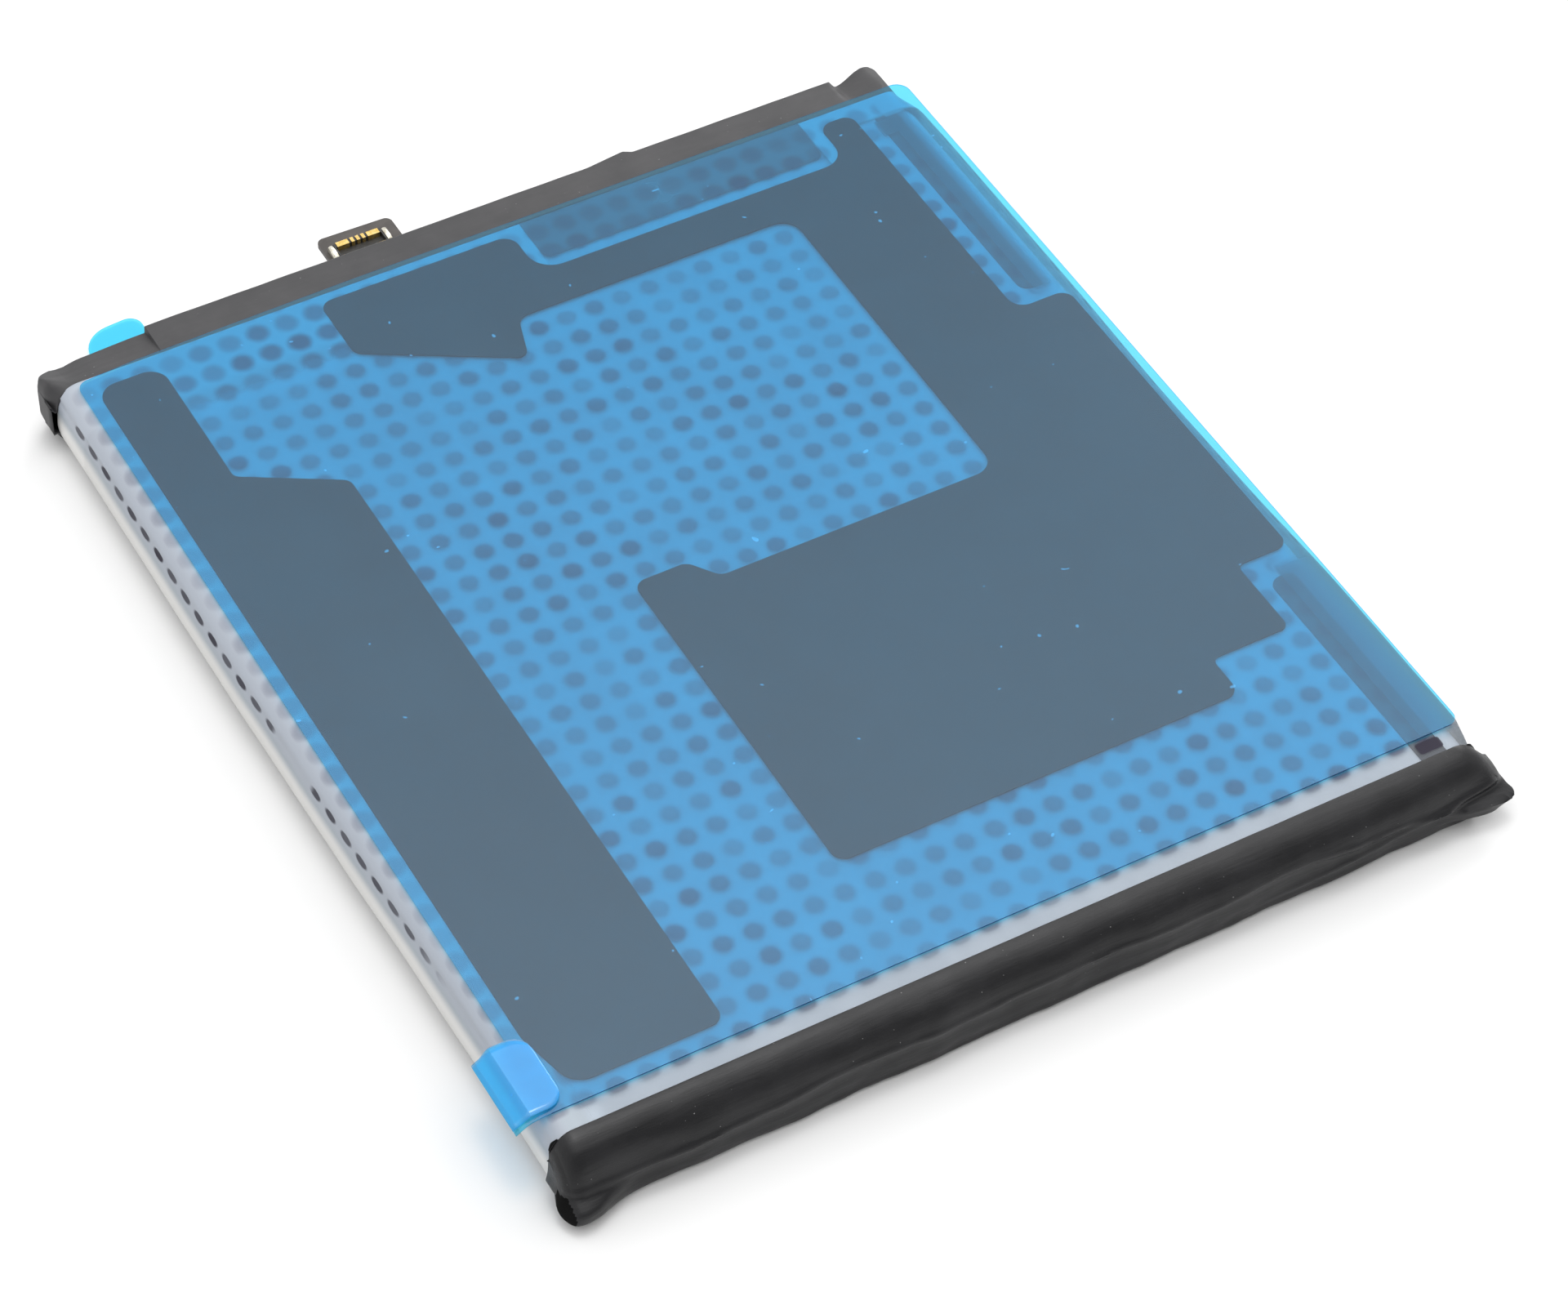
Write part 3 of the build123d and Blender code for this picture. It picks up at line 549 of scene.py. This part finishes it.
# ---------------------------------------------------------------- cell cross-section
def section(half, z0, z1, rt, rl, steps):
    """Closed cross-section from the underside's middle round the left wall, with its unrolled position."""
    right_half = [(x, z1) for x in spread(0, half - rt, steps)]
    right_half += arc(half - rt, z1 - rt, rt, 90, 0, 12)[1:]
    right_half += [(half, z) for z in spread(z1 - rt, z0 + rl, 10)[1:]]
    right_half += arc(half - rl, z0 + rl, rl, 0, -90, 8)[1:]
    right_half += [(x, z0) for x in spread(half - rl, 0, 16)[1:]]
    run = 0.0
    unrolled = [(0.0, right_half[0])]
    for a, b in zip(right_half, right_half[1:]):
        run += math.dist(a, b)
        unrolled.append((run, b))
    left = [(-u, (-x, z)) for u, (x, z) in reversed(unrolled[1:])]
    return left + unrolled


# the film bags out over the folded seal on the right, most towards the near end
slack_line = [(-34.0, 0.0), (-33.3, 0.32), (-31.5, 0.68), (-20.0, 0.68), (-8.0, 0.35)]
slack_line += [(0.0, 0.25), (12.0, 0.42), (27.0, 0.45), (30.6, 0.4), (32.3, 0.0)]


def film_rows(half=31.05, z0=0.11, z1=4.85, rt=1.7, rl=1.2):
    """The sleeve's rows along Y, following the pouch with its slack over the folded side seal."""
    outline = section(half, z0, z1, rt, rl, 30)
    rows = []
    marks = []
    for y in spread(-34.25, 32.9, 110):
        row = []
        for u, (x, z) in outline:
            shift = 0.0
            if abs(x) > 30.3 and z < 4.0:
                sunk = 1.0 - math.exp(-(((z - 1.9) / 0.75) ** 2))
                shift = max(0.0, 0.10 * sunk + 0.05 * wander(x, y, z, 0.16, 3.0))
            slack = lerp_table(slack_line, y) * smooth01((x - 28.8) / 2.0)
            tuck = 0.6 * smooth01((y - 32.1) / 0.5) * smooth01((x - 30.0) / 0.9)
            row.append((lean_in(x - math.copysign(shift, x), y) + slack - tuck, y, z))
        rows.append(row)
        marks += [(u, y) for u, _ in outline]
    return rows, marks


sleeve_rows, sleeve_uv = film_rows()
points, quads = grid(sleeve_rows)
build("film_sleeve", points, quads, "cell", ["wrap_film"], [film_mat], sleeve_uv)


def reshaped(node, name, change, mat):
    """A copy of a CAD node's mesh with its points moved, standing for the node."""
    mesh = frame["nodes"][node].data.copy()
    for v in mesh.vertices:
        v.co = Vector(change(*(v.co / MM))) * MM
    mesh.materials.clear()
    mesh.materials.append(mat)
    obj = bpy.data.objects.new(name, mesh)
    scene.collection.objects.link(obj)
    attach(obj, "cell")
    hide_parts(node)
    return obj


def lean_point(x, y, z):
    return lean_in(x, y), y, z


reshaped("pouch_upper_shell", "pouch_upper", lean_point, foil_mat)
reshaped("pouch_lower_shell", "pouch_lower", lean_point, foil_mat)
reshaped("side_seal_left", "seal_fold_left", lean_point, foil_mat)


# ---------------------------------------------------------------- taped ends
def hood(stations, top, bottom, far, mouth, soft_top, soft_low, face):
    """Rows of a wrapped end: over the top, round the far edge, down the face and back under."""
    rows = []
    sign = 1.0 if far(0) > mouth else -1.0
    for x in stations:
        zt, zb, yf = top(x), bottom(x), far(x)
        r1 = min(soft_top, (zt - zb) * 0.45)
        r2 = min(soft_low, (zt - zb) * 0.4)
        row = [(y, zt) for y in spread(mouth, yf - sign * r1, 12)]
        for a in spread(90, 0, 6)[1:]:
            row.append((yf - sign * r1 * (1 - math.cos(math.radians(a))), zt - r1 * (1 - math.sin(math.radians(a)))))
        row += [(yf, z) for z in spread(zt - r1, zb + r2, 22)[1:]]
        for a in spread(0, 90, 5)[1:]:
            row.append((yf - sign * r2 * (1 - math.cos(math.radians(a))), zb + r2 * (1 - math.sin(math.radians(a)))))
        row += [(y, zb) for y in spread(yf - sign * r2, mouth, 8)[1:]]
        rows.append([face(x, y, z) for y, z in row])
    ends = []
    for row, order in ((rows[0], -1), (rows[-1], 1)):
        extra = []
        for f in (0.8, 0.55, 0.3, 0.0):
            extra.append([(x + order * 0.02, mouth + (y - mouth) * f, z) for x, y, z in row])
        ends.append(extra)
    return list(reversed(ends[0])) + rows + ends[1]


def rounding(x, half_left, half_right, r):
    """How far a section's corner of radius r has dropped at x."""
    d = max(0.0, x - (half_right - r), -x - (half_left - r))
    d = min(d, r)
    return r - math.sqrt(max(0.0, r * r - d * d))


def stations_for(a, b, n, extra=()):
    out = set(round(v, 3) for v in spread(a, b, n))
    for centre, half, count in extra:
        out |= set(round(v, 3) for v in spread(centre - half, centre + half, count))
    return sorted(v for v in out if a <= v <= b)


# near-end tape: reach to the left and right, mouth, top and face
NEAR_LEFT, NEAR_RIGHT = 31.12, 31.25
NEAR_MOUTH, NEAR_TOP, NEAR_FACE = -34.0, 4.96, -35.8
# a crease wanders along its face, a loose fold opens at the left and a pinched ear stands out at the right
crease_line = [(-31, 2.3), (-26, 2.2), (-20, 2.35), (-12, 2.8), (-4, 2.6)]
crease_line += [(3, 2.85), (10, 2.7), (17, 3.1), (24, 2.7), (31, 2.0)]
second_line = [(10, 0.5), (16, 1.1), (22, 1.7), (27, 2.3), (31, 2.9)]


def near_top(x):
    return NEAR_TOP - rounding(x, NEAR_LEFT, NEAR_RIGHT, 1.8)


def near_bottom(x):
    return rounding(x, NEAR_LEFT, NEAR_RIGHT, 1.2)


def near_far(x):
    return NEAR_FACE + 0.6 * rounding(x, NEAR_LEFT, NEAR_RIGHT, 1.4)


def near_face(x, y, z):
    out = smooth01((-y - 34.3) / 1.6)
    low = smooth01((4.6 - z) / 4.2)
    y -= out * low * lerp_table([(-31, 0.5), (-10, 0.45), (10, 0.3), (31, 0.15)], x)
    ridge = z - lerp_table(crease_line, x)
    sway = 0.55 + 0.9 * abs(wander(x, 0.0, 0.0, 0.11, 21.0))
    y -= out * 0.12 * sway * math.exp(-((ridge / 0.24) ** 2)) + out * 0.32 * max(0.0, 1.0 - abs(ridge) / 2.1)
    y += out * 0.06 * sway * math.exp(-(((ridge + 0.8) / 0.5) ** 2))
    fold = z - lerp_table(second_line, x)
    y -= out * 0.22 * math.exp(-((fold / 0.26) ** 2)) * smooth01((x - 12) / 10)
    y -= out * 0.2 * wander(x, 0.0, z, 0.22, 7.0) + out * 0.05 * wander(x, 0.0, z * 1.2, 0.8, 11.0)
    # pinched ear at the right: a flat fin with a square tip, the side running straight down to it
    tip = smooth01((x - 27.2) / 3.9) * out
    reach = smooth01((x - 29.0) / 1.6) * smooth01((-y - 33.9) / 0.9)
    fin = math.exp(-(((z - 1.5) / (0.5 if z > 1.5 else 0.42)) ** 4))
    slant = (4.9 - z) / 2.8 if z > 2.1 else max(0.0, 1.0 - (2.1 - z) / 0.8)
    x += reach * (1.2 * min(1.0, slant) + 0.85 * min(1.0, fin * 2.0) * tip * smooth01((-y - 34.9) / 0.9))
    y -= 0.95 * tip * min(1.0, fin * 1.5)
    z -= 0.15 * tip * fin
    # loose fold at the left, its open end cut on the slant
    open_end = smooth01((-26.0 - x) / 4.0) * smooth01((x + NEAR_LEFT) / 0.8) * out
    pouch = math.exp(-(((z - 1.05) / 0.8) ** 4))
    y -= 0.9 * open_end * pouch
    x -= 0.8 * smooth01((-28.6 - x) / 2.4) * out * math.exp(-(((z - 0.7) / 1.1) ** 2))
    z += 0.02 * wander(x, y, 0.0, 0.5, 2.0) if z > 4.5 else 0.0
    return lean_in(x, y), y, max(z, 0.0)


near_rows = hood(
    stations_for(-NEAR_LEFT, NEAR_RIGHT, 190, ((-30.4, 0.72, 20), (30.4, 0.85, 20))),
    near_top,
    near_bottom,
    near_far,
    NEAR_MOUTH,
    1.7,
    0.35,
    near_face,
)
points, quads = grid(near_rows)
# painted shade: faces where the loose fold at the left opens take the nearly black inside finish
fold_mouth_shade = []
for quad in quads:
    cx, cy, cz = (sum(points[i][k] for i in quad) / 4 for k in range(3))
    fold_mouth_shade.append(1 if cx < -30.5 and cy < -35.3 and 0.3 < cz < 1.9 else 0)
near_skins = [near_tape_mat, inside_and_fold_shade_mat]
near_tape = build("near_tape", points, quads, "cell", ["near_end_tape"], near_skins, None, fold_mouth_shade)
thicken(near_tape, 0.08, -1.0, 1, 0)

# ---------------------------------------------------------------- head tape
HEAD_LEFT, HEAD_RIGHT = 30.94, 30.6
HEAD_MOUTH, HEAD_TOP, HEAD_FACE = 32.7, 4.77, 35.9
HEAD_LOW = 0.19
# the opening the tail comes out through
SLOT_LEFT, SLOT_RIGHT, SLOT_LOW, SLOT_HIGH = -10.1, -4.4, 2.82, 3.5


def head_top(x):
    return HEAD_TOP - rounding(x, HEAD_LEFT, HEAD_RIGHT, 1.2 if x > 0 else 1.62)


def head_bottom(x):
    return HEAD_LOW + rounding(x, HEAD_LEFT, HEAD_RIGHT, 1.12)


def head_far(x):
    cut = max(0.0, -x - 30.0) * 0.9 + max(0.0, x - 30.0) * 0.5 - 0.3 * smooth01((x - 27.4) / 2.2)
    bump = 0.35 * max(0.0, 1 - abs(x - 11.2) / (2.9 if x < 11.2 else 0.6)) if 8.3 < x < 11.8 else 0.0
    cut += 0.22 * smooth01((-x - 23.5) / 0.12)
    return HEAD_FACE - cut + bump + 0.03 * wander(x, 0, 0, 0.4, 9.0)


shoulder_line = [(-31, 3.4), (-28, 4.0), (-23.62, 4.2), (-23.52, HEAD_TOP), (26.6, HEAD_TOP)]
shoulder_line += [(27.4, 3.95), (29.6, 4.55), (30.6, 4.25)]


def head_face(x, y, z):
    low_edge = lerp_table(shoulder_line, x)
    drop = (HEAD_TOP - low_edge) * max(0.0, min(1.0, (y - 33.0) / 2.9))
    if z > low_edge - 0.6 and y > 33.0:
        z = min(z, HEAD_TOP - drop)
    z += 0.03 * wander(x, y, z, 0.35, 4.0) * smooth01((y - 33.2) / 0.8)
    # the far left corner stands out, boxy and a little lifted
    left = smooth01((-x - 29.3) / 1.3)
    corner = left * smooth01((y - 32.6) / 1.3)
    snug = 0.14 * left * smooth01((y - 32.5) / 0.4)
    x -= snug + 0.36 * corner * smooth01((z - 0.1) / 1.5)
    z += 0.5 * corner * smooth01((z - 1.6) / 1.2)
    return x, y, max(z, HEAD_LOW)


head_extra = [(-23.56, 0.12, 12), (SLOT_LEFT, 0.02, 2), (SLOT_RIGHT, 0.02, 2), (27.0, 0.5, 8)]
head_extra += [(11.4, 0.5, 6), (-30.3, 0.6, 12), (30.1, 0.5, 12)]
head_rows = hood(
    stations_for(-HEAD_LEFT, HEAD_RIGHT, 150, head_extra),
    head_top,
    head_bottom,
    head_far,
    HEAD_MOUTH,
    0.3,
    0.3,
    head_face,
)
points, quads = grid(head_rows)


def in_slot(quad):
    """Whether a face lies where the tail comes out through the tape."""
    cx, cy, cz = (sum(points[i][k] for i in quad) / 4 for k in range(3))
    return SLOT_LEFT < cx < SLOT_RIGHT and cy > 35.4 and SLOT_LOW < cz < SLOT_HIGH


quads = [quad for quad in quads if not in_slot(quad)]
# the tape's flap lying on the front
flap_path = rounded_path(
    [(1.9, 29.2, 0.6), (22.7, 29.2, 0.6), (22.7, 31.6, 0.9), (23.7, 33.0, 0), (0.9, 33.0, 0), (1.9, 31.6, 0.9)]
)
base = len(points)
points += [(x, y, HEAD_TOP) for x, y in flap_path]
quads.append(tuple(range(base, base + len(flap_path))))
head = build("head_wrap", points, quads, "cell", ["head_tape"], [head_tape_mat, head_tape_mat])
thicken(head, 0.07, -1.0, 1, 0)

# ---------------------------------------------------------------- front liner
FRONT_Z = 4.95
LINER_T = 0.08
sheet_line = [(-29.6, -27.0, 0), (-29.6, -32.5, 0), (31.0, -32.5, 0.7), (31.0, 33.2, 1.0)]
sheet_line += [(-10.0, 33.15, 0), (-25.5, 32.9, 0), (-29.6, 32.62, 0.8)]
sheet_path = rounded_path(sheet_line)


def slab(path, z0, t):
    """A closed sheet of the given outline."""
    n = len(path)
    verts = [(x, y, z0) for x, y in path] + [(x, y, z0 + t) for x, y in path]
    faces = [tuple(range(n)), tuple(range(n, 2 * n))]
    faces += [(i, (i + 1) % n, n + (i + 1) % n, n + i) for i in range(n)]
    return verts, faces, [1] + [0] * (n + 1)


verts, faces, kinds = slab(sheet_path, FRONT_Z, LINER_T)
# painted shade: the rim along the near edge is darker, for the shadowed gap at the liner's edge
for i, (here, after) in enumerate(zip(sheet_path, sheet_path[1:])):
    if here[1] < -32.4 and after[1] < -32.4:
        kinds[2 + i] = 2
# the sheet runs on over the left edge, down to where the pull tab folds back
ear_line = [(-29.6, 0.0), (-30.3, -0.02), (-30.75, -0.09), (-31.1, -0.22)]
ear_line += [(-31.4, -0.40), (-31.65, -0.58), (-31.8, -0.68)]
base = len(verts)
ear_rows = []
for x, dz in ear_line:
    ripple = 0.02 if x < -30 else 0.0
    ear_rows.append([(x, y, FRONT_Z + dz + ripple * wander(x, y, 0, 0.6, 1.0)) for y in spread(-27.0, -32.5, 10)])
for side, lift in ((0, 0.0), (1, LINER_T)):
    rows = [[(x, y, z + lift) for x, y, z in row] for row in ear_rows]
    p, q = grid(rows, start=len(verts))
    verts += p
    faces += q
    kinds += [1 - side] * len(q)
count = len(ear_rows[0])
low0, high0 = base, base + count * len(ear_rows)
for i in range(len(ear_rows) - 1):
    for j in (0, count - 1):
        a, b = low0 + i * count + j, low0 + (i + 1) * count + j
        c, d = high0 + i * count + j, high0 + (i + 1) * count + j
        faces.append((a, b, d, c))
last = (len(ear_rows) - 1) * count
for j in range(count - 1):
    faces.append((low0 + last + j, low0 + last + j + 1, high0 + last + j + 1, high0 + last + j))
kinds += [0] * (len(faces) - len(kinds))
liner_skins = [liner_mat, inner_face, edge_shade_mat]
build("front_liner_sheet", verts, faces, "front_liner", ["front_liner"], liner_skins, None, kinds)

# folded-back pull tab
tab_line = [(-31.84, 4.40), (-31.6, 4.51), (-31.3, 4.68), (-31.0, 4.88), (-30.82, 5.0), (-30.68, 5.065)]
tab_line += [(x, 5.085 if x == -30.1 else 5.08) for x in (-30.5, -30.1, -29.7, -29.4, -29.1, -28.8, -28.6, -28.5)]
tab_rows = []
for x, z in tab_line:
    end = max(0.0, (x + 29.7) / 1.2)
    inset = 1.2 * (1.0 - math.sqrt(max(0.0, 1.0 - end * end)))
    hip = 0.25 * smooth01((-30.6 - x) / 1.2)
    tab_rows.append([(x, y, z) for y in spread(-26.9 - inset - hip, -32.25 + inset, 12)])
verts, faces = grid(tab_rows)
# painted shade: faces down the fold's slope take the darker copy of the tab's finish
slope = [1 if verts[q[0]][0] < -30.7 else 0 for q in faces]
tab_skins = [tab_mat, tab_slope_shade_mat, inner_face]
tab = build(
    "front_tab_fold", verts, faces, "front_pull_tab", ["front_pull_tab"], tab_skins, None, slope, 14
)
thicken(tab, LINER_T, 1.0, 2, 2)

# ---------------------------------------------------------------- rear liner and tab
rear_line = [(-29.4, -33.1, 1), (29.4, -33.1, 1), (29.4, 33.0, 1), (-21.0, 33.0, 0.8)]
rear_line += [(-21.9, 36.14, 0), (-26.1, 36.14, 0), (-27.0, 33.0, 0.8), (-29.4, 33.0, 1)]
rear_path = rounded_path(rear_line)
verts, faces, kinds = slab(rear_path, 0.0, LINER_T)
rear_skins = [rear_mat, inner_face]
build("rear_liner_sheet", verts, faces, "rear_liner", ["rear_liner"], rear_skins, None, kinds)
tongue = rounded_path([(-26.1, 36.2, 0), (-21.9, 36.2, 0), (-21.9, 41.7, 0.9), (-26.1, 41.4, 2.2)], 8)
verts, faces, kinds = slab(tongue, 0.0, LINER_T)
build("rear_tab_tongue", verts, faces, "rear_pull_tab", ["rear_pull_tab"], rear_skins, None, kinds)

# ---------------------------------------------------------------- connector end fittings
low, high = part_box("connector_end_fittings")
low, high = Vector(low) / MM, Vector(high) / MM
fit_verts, fit_faces = [], []
# a folded clip's outline in half-lengths and half-heights, and the steps across its width
clip_line = ((1, -3), (1, -0.4), (0.75, 0.8), (0.2, 1), (-0.5, 1), (-1.1, 0.6), (-1.3, -0.5), (-1.3, -3))
clip_steps = (-0.16, -0.12, 0.0, 0.12, 0.16)
for side in (0, 1):
    cx = low.x + 0.19 if side == 0 else high.x - 0.19
    outline = [(high.y - 0.55 + 0.55 * a, high.z - 0.14 + 0.14 * b) for a, b in clip_line]
    rows = []
    for dx in clip_steps:
        rows.append([(cx + dx, y - 0.06 * abs(dx) / 0.15, z - 0.05 * (abs(dx) > 0.12)) for y, z in outline])
    p, q = grid(rows, start=len(fit_verts))
    fit_verts += p
    fit_faces += q
    n = len(outline)
    first = len(fit_verts) - len(p)
    fit_faces += [tuple(range(first, first + n)), tuple(range(first + 4 * n, first + 5 * n))]
    fit_faces.append(tuple(first + k * n for k in range(5)) + tuple(first + k * n + n - 1 for k in range(4, -1, -1)))
build(
    "connector_staples",
    fit_verts,
    fit_faces,
    "tail",
    ["connector_end_fittings"],
    [fitting_mat],
    angle=60,
)

# ---------------------------------------------------------------- lights and floor
floor_mesh = bpy.data.meshes.new("floor")
FLOOR_HALF, FLOOR_Z = 3, -0.0001
corners = [(sx * FLOOR_HALF, sy * FLOOR_HALF, FLOOR_Z) for sx, sy in ((-1, -1), (1, -1), (1, 1), (-1, 1))]
floor_mesh.from_pydata(corners, [], [(0, 1, 2, 3)])
floor = bpy.data.objects.new("floor", floor_mesh)
scene.collection.objects.link(floor)
m = Nodes("floor")
shader = m.add("BsdfPrincipled")
pale = m.mix(m.noise(m.coords(), 0.02, 2.0), rgb(0.66, 0.66, 0.66), rgb(0.69, 0.69, 0.69))
m.put(shader.inputs["Base Color"], pale)
shader.inputs["Roughness"].default_value = 0.9
shader.inputs["Specular IOR Level"].default_value = 0.1
floor_mesh.materials.append(m.finish(shader.outputs[0]))

world = bpy.data.worlds.new("studio")
scene.world = world
world.use_nodes = True
sky = world.node_tree
glow = sky.nodes["Background"]
where = sky.nodes.new("ShaderNodeTexCoord")
axes = sky.nodes.new("ShaderNodeSeparateXYZ")


def sky_range(*ends):
    """A smooth ramp node with its From and To ends."""
    node = sky.nodes.new("ShaderNodeMapRange")
    node.interpolation_type = "SMOOTHSTEP"
    for key, value in zip(("From Min", "From Max", "To Min", "To Max"), ends):
        node.inputs[key].default_value = value
    return node


# brighter towards the zenith, dimmer low down in front
fade = sky_range(0.62, 0.84, 0.95, 2.0)
dusk = sky_range(-0.9, 0.25, 0.3, 1.0)
glow.inputs["Color"].default_value = (1.0, 1.0, 1.0, 1.0)
sky.links.new(where.outputs["Generated"], axes.inputs[0])
sky.links.new(axes.outputs["Z"], fade.inputs["Value"])
tilt = sky.nodes.new("ShaderNodeMath")
tilt.operation = "MULTIPLY_ADD"
tilt.inputs[1].default_value = 0.9
sky.links.new(axes.outputs["Z"], tilt.inputs[0])
sky.links.new(axes.outputs["Y"], tilt.inputs[2])
sky.links.new(tilt.outputs[0], dusk.inputs["Value"])
both = sky.nodes.new("ShaderNodeMath")
both.operation = "MULTIPLY"
sky.links.new(fade.outputs["Result"], both.inputs[0])
sky.links.new(dusk.outputs["Result"], both.inputs[1])
sky.links.new(both.outputs[0], glow.inputs["Strength"])


def soft_box(name, where, target, size, power):
    data = bpy.data.lights.new(name, "AREA")
    data.shape = "RECTANGLE"
    data.size, data.size_y = size
    data.energy = power
    lamp = bpy.data.objects.new(name, data)
    lamp.location = where
    lamp.rotation_euler = (Vector(target) - Vector(where)).to_track_quat("-Z", "Y").to_euler()
    scene.collection.objects.link(lamp)


soft_box("overhead", (0.1, 0.1, 0.95), (0, 0, 0), (0.3, 0.3), 1.9)
soft_box("back_right", (0.85, 0.65, 0.6), (0, 0, 0), (0.5, 0.4), 4.5)

scene.view_settings.view_transform = "Standard"
scene.view_settings.look = "None"
